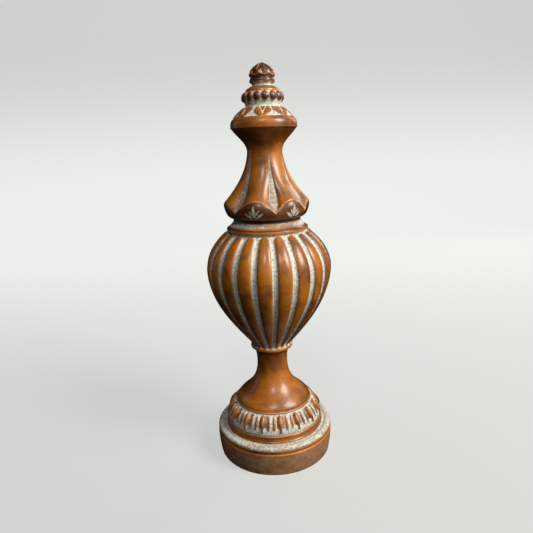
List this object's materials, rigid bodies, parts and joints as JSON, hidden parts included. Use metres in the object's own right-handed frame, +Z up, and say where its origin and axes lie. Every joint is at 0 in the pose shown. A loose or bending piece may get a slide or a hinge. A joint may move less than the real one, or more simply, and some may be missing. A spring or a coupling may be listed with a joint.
{
  "type": "roof finial",
  "caption": "Turned-profile ornamental finial: round moulded base, carved band, stem, gadrooned urn, panelled skirt, leafed cap with a bead ring, and a pointed bud on top.",
  "frame": {"origin": "centre of the flat underside of the round base", "axes": "+Z up along the turned axis; the side that the picture shows faces -Y; +X is to its right"},
  "size_m": [0.1364, 0.1364, 0.43],
  "materials": {
    "lacquered_resin": "copper-brown lacquer over cast resin, satin to glossy, with a pale grey-green wash left in the grooves, rubbed orange edges and a matte base drum"
  },
  "bodies": {
    "root": {"finial": "lacquered_resin"}
  },
  "joints": []
}
